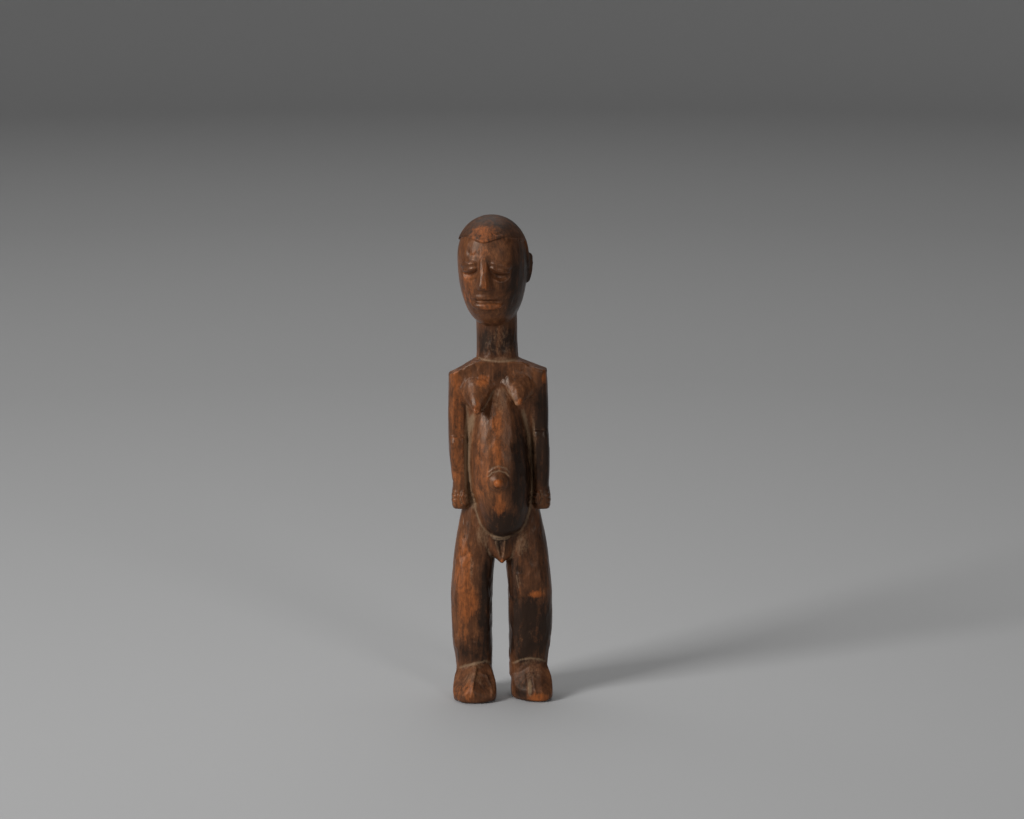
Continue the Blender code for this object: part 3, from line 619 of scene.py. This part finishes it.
def note_wear(skin, line_dust):
    """Stores how hollow or proud the surface is, and where it is worn, dark, dusty or dull.

    The dark places include painted shade, and the worn and dusty places include some painted highlights.
    """
    normals = skin.normals()
    kept = skin.points.copy()
    hollow = np.zeros(skin.count)
    done = 0
    for rounds in HOLLOW_ROUNDS:
        skin.smooth(1.0, rounds - done)
        done = rounds
        hollow += np.einsum("ij,ij->i", skin.points - kept, normals) / math.sqrt(rounds)
    skin.points = kept
    skin.write()
    skin.store("hollow", hollow)
    skin.store("worn", zone(kept, WORN_AND_HIGHLIGHTS))
    hair = on_hair(kept)
    skin.store("matt", np.maximum(zone(kept, MATT), hair))
    skin.store("dark", np.maximum(zone(kept, DARK), HAIR_DARK * hair))
    skin.store("dust", np.maximum(zone(kept, DUST_AND_HIGHLIGHTS), line_dust))


class Tree:
    """Builds a node tree: each call adds a node, sets or links its inputs, and gives one of its outputs."""

    def __init__(self, tree):
        self.tree = tree
        tree.nodes.clear()

    def add(self, kind, inputs=None, output=0, **settings):
        node = self.tree.nodes.new(kind)
        for name, value in settings.items():
            setattr(node, name, value)
        for key, value in (inputs or {}).items():
            if isinstance(value, bpy.types.NodeSocket):
                self.tree.links.new(value, node.inputs[key])
            else:
                node.inputs[key].default_value = value
        return node.outputs[output] if len(node.outputs) else node

    def attribute(self, name):
        return self.add("ShaderNodeAttribute", output="Fac", attribute_name=name)

    def texture(self, size, detail=4.0, rough=0.55, distortion=0.0, offset=0.0):
        """Noise from 0 to 1 with waves of the given size in millimetres along X, Y and Z."""
        place = self.add("ShaderNodeTexCoord", output="Object")
        scale = [1 / (s * MM) for s in size]
        shift = (offset, offset, offset)
        place = self.add("ShaderNodeMapping", {"Vector": place, "Scale": scale, "Location": shift})
        return self.add(
            "ShaderNodeTexNoise",
            {"Vector": place, "Scale": 1.0, "Detail": detail, "Roughness": rough, "Distortion": distortion},
        )

    def math(self, operation, a, b=0.0, c=0.0, clamp=False):
        return self.add("ShaderNodeMath", {0: a, 1: b, 2: c}, operation=operation, use_clamp=clamp)

    def band(self, value, low, high, bottom=0.0, top=1.0):
        """The value, mapped from low..high to bottom..top and held there."""
        return self.add("ShaderNodeMapRange", {0: value, 1: low, 2: high, 3: bottom, 4: top}, clamp=True)

    def mix(self, share, first, second):
        return self.add(
            "ShaderNodeMix", {0: share, 6: first, 7: second}, output=2, data_type="RGBA", clamp_factor=True
        )


def wood():
    """Hand-rubbed dark wood with vertical grain, worn places and dust in its hollows, and painted shade and
    highlights where the zones give them.
    """
    made = bpy.data.materials.new("oiled_wood")
    made.use_nodes = True
    t = Tree(made.node_tree)
    fibre = t.texture((0.4, 0.4, 8.0), detail=5.0, rough=0.65)
    streak = t.texture((1.5, 1.5, 30.0), detail=6.0, rough=0.6, distortion=0.4, offset=3.0)
    cloud = t.texture((5.0, 5.0, 10.0), detail=8.0, rough=0.66, distortion=0.8, offset=7.0)
    speck = t.texture((0.9, 0.9, 1.5), detail=4.0, rough=0.7, offset=11.0)
    hollow = t.attribute("hollow")

    # how light the oiled wood is, lower in the dark zones, where shade is painted on the right of the face
    # and belly
    tone = t.math("MULTIPLY_ADD", streak, 0.5, t.math("MULTIPLY", cloud, 0.75))
    tone = t.math("MULTIPLY_ADD", speck, 0.35, tone)
    tone = t.math("SUBTRACT", tone, t.math("MULTIPLY", t.attribute("dark"), 0.36))
    colour = t.mix(t.band(tone, 0.48, 0.78), OILED_AND_SHADE, BROWN)
    colour = t.mix(t.band(tone, 0.78, 1.0), colour, HANDLED)

    # worn through to the heartwood on proud edges and in the worn zones, in broken streaks, which also
    # paint highlights on the left of the face
    proud = t.band(hollow, -0.02, -0.12)
    rub_and_highlight = t.math("MULTIPLY_ADD", proud, 0.5, t.attribute("worn"))
    rub_and_highlight = t.math("MULTIPLY_ADD", t.math("SUBTRACT", cloud, 0.5), 1.5, rub_and_highlight)
    rub_and_highlight = t.math("MULTIPLY_ADD", t.math("SUBTRACT", streak, 0.5), 1.2, rub_and_highlight)
    rub_and_highlight = t.math("MULTIPLY_ADD", t.math("SUBTRACT", speck, 0.5), 1.1, rub_and_highlight)
    colour = t.mix(t.band(rub_and_highlight, 0.3, 1.25, top=0.85), colour, HEARTWOOD_AND_HIGHLIGHT)
    colour = t.mix(t.band(fibre, 0.5, 0.7, top=0.45), colour, OILED_AND_SHADE)

    # dust, thickest in the hollows, with the two painted highlights of the dust zones
    dust_and_painted_light = t.math("MULTIPLY_ADD", t.attribute("dust"), 1.0, t.band(hollow, 0.02, 0.16, top=0.35))
    dust_and_painted_light = t.math("MULTIPLY_ADD", t.math("SUBTRACT", speck, 0.5), 1.4, dust_and_painted_light)
    dust_and_painted_light = t.math("MULTIPLY_ADD", t.math("SUBTRACT", cloud, 0.5), 0.9, dust_and_painted_light)
    dusty = t.band(dust_and_painted_light, 0.2, 1.0, top=0.72)
    colour = t.mix(dusty, colour, DUST_AND_HIGHLIGHT_COLOUR)

    sheen = t.math("MULTIPLY_ADD", fibre, 0.2, t.band(cloud, 0.35, 0.65, bottom=0.2, top=0.34))
    sheen = t.math("MULTIPLY_ADD", dusty, 0.35, sheen)
    sheen = t.math("MULTIPLY_ADD", t.attribute("matt"), 0.22, sheen)
    relief = t.math("MULTIPLY_ADD", fibre, 0.6, t.math("MULTIPLY", streak, 0.4))
    relief = t.math("MULTIPLY_ADD", speck, 0.3, relief)
    bump = t.add("ShaderNodeBump", {"Strength": 0.5, "Distance": 0.00012, "Height": relief})
    shader = t.add(
        "ShaderNodeBsdfPrincipled",
        {
            "Base Color": colour,
            "Roughness": sheen,
            "Specular IOR Level": 0.31,
            "Specular Tint": SHEEN_TINT,
            "Normal": bump,
        },
    )
    t.add("ShaderNodeOutputMaterial", {"Surface": shader})
    return made


def paper():
    """Plain pale paper, with painted shade a little darker behind the figure and painted light at the wall.
    """
    made = bpy.data.materials.new("pale_paper")
    made.use_nodes = True
    t = Tree(made.node_tree)
    place = t.add("ShaderNodeTexCoord", output="Object")
    away = t.add("ShaderNodeVectorMath", {"Vector": place}, output="Value", operation="LENGTH")
    near = t.mix(t.band(away, *PAPER_NEAR), PAPER[0], PAPER[1])
    colour = t.mix(t.band(away, *PAPER_FAR), near, PAPER[2])
    shader = t.add("ShaderNodeBsdfPrincipled", {"Base Color": colour, "Roughness": 0.85})
    t.add("ShaderNodeOutputMaterial", {"Surface": shader})
    return made


def studio():
    """A round floor that bends up into a wall on every side."""
    line = [(FLOOR_RADIUS * share, 0.0) for share in (0.05, 0.2, 0.6)]
    for k in range(BEND_STEPS + 1):
        turn = math.pi / 2 * k / BEND_STEPS
        line.append((FLOOR_RADIUS + BEND_RADIUS * math.sin(turn), BEND_RADIUS * (1 - math.cos(turn))))
    line.append((FLOOR_RADIUS + BEND_RADIUS, WALL_HIGH))
    points = [(0.0, 0.0, 0.0)]
    for radius, z in line:
        for k in range(ROUND_STEPS):
            turn = 2 * math.pi * k / ROUND_STEPS
            points.append((radius * math.cos(turn), radius * math.sin(turn), z))
    faces = []
    for k in range(ROUND_STEPS):
        after = (k + 1) % ROUND_STEPS
        faces.append((0, 1 + k, 1 + after))
        for row in range(len(line) - 1):
            low = 1 + row * ROUND_STEPS
            high = low + ROUND_STEPS
            faces.append((low + k, high + k, high + after, low + after))
    mesh = bpy.data.meshes.new("studio")
    mesh.from_pydata(points, [], faces)
    mesh.shade_smooth()
    mesh.materials.append(paper())
    made = bpy.data.objects.new("studio", mesh)
    bpy.context.scene.collection.objects.link(made)


def lights():
    """The soft boxes, all aimed at the figure, and a faint even light."""
    for azimuth, rise, distance, wide, high, power in LIGHTS:
        data = bpy.data.lights.new("soft_box", "AREA")
        data.shape = "RECTANGLE"
        data.size, data.size_y = wide, high
        data.energy = power
        made = bpy.data.objects.new("soft_box", data)
        bpy.context.scene.collection.objects.link(made)
        a, e = math.radians(azimuth), math.radians(rise)
        towards = Vector((math.sin(a) * math.cos(e), -math.cos(a) * math.cos(e), math.sin(e)))
        made.location = AIM * MM + towards * distance
        made.rotation_euler = towards.to_track_quat("Z", "Y").to_euler()
    world = bpy.data.worlds.new("studio")
    world.use_nodes = True
    world.node_tree.nodes["Background"].inputs["Color"].default_value = (1.0, 1.0, 1.0, 1.0)
    world.node_tree.nodes["Background"].inputs["Strength"].default_value = AMBIENT
    bpy.context.scene.world = world
    bpy.context.scene.view_settings.view_transform = "Standard"


def lighten(figure):
    """Takes the skin down to the triangles that it may keep, most of them where it bends."""
    triangles = 2 * len(figure.data.polygons)
    fewer = figure.modifiers.new("fewer", "DECIMATE")
    fewer.ratio = MOST_TRIANGLES / triangles
    fewer.use_collapse_triangulate = True
    apply_modifiers(figure)


def hold_inside(skin, low, high):
    """Keeps the skin inside the solid's box, and its soles flat on the ground."""
    skin.points[:, 2] = np.where(skin.points[:, 2] < SOLE_HIGH, 0.0, skin.points[:, 2])
    skin.points = np.clip(skin.points, low, high)


def main():
    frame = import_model()
    cad_low, cad_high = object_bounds()
    solid = frame["nodes"]["figure"]
    figure = dense_skin(solid)
    skin = Skin(figure.data)
    ridge_gap = distance_to(skin.points, ridges_of(solid.data))
    round_over(skin, ridge_gap)
    cut_flats(skin, ridge_gap)
    line_dust = carve(skin)
    raise_grain(skin)
    hold_inside(skin, np.array(cad_low) / MM, np.array(cad_high) / MM)
    note_wear(skin, line_dust)
    lighten(figure)
    figure.data.shade_smooth()
    figure.data.materials.clear()
    figure.data.materials.append(wood())
    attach(figure, "root")
    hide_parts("figure")
    studio()
    lights()
    camera()


main()
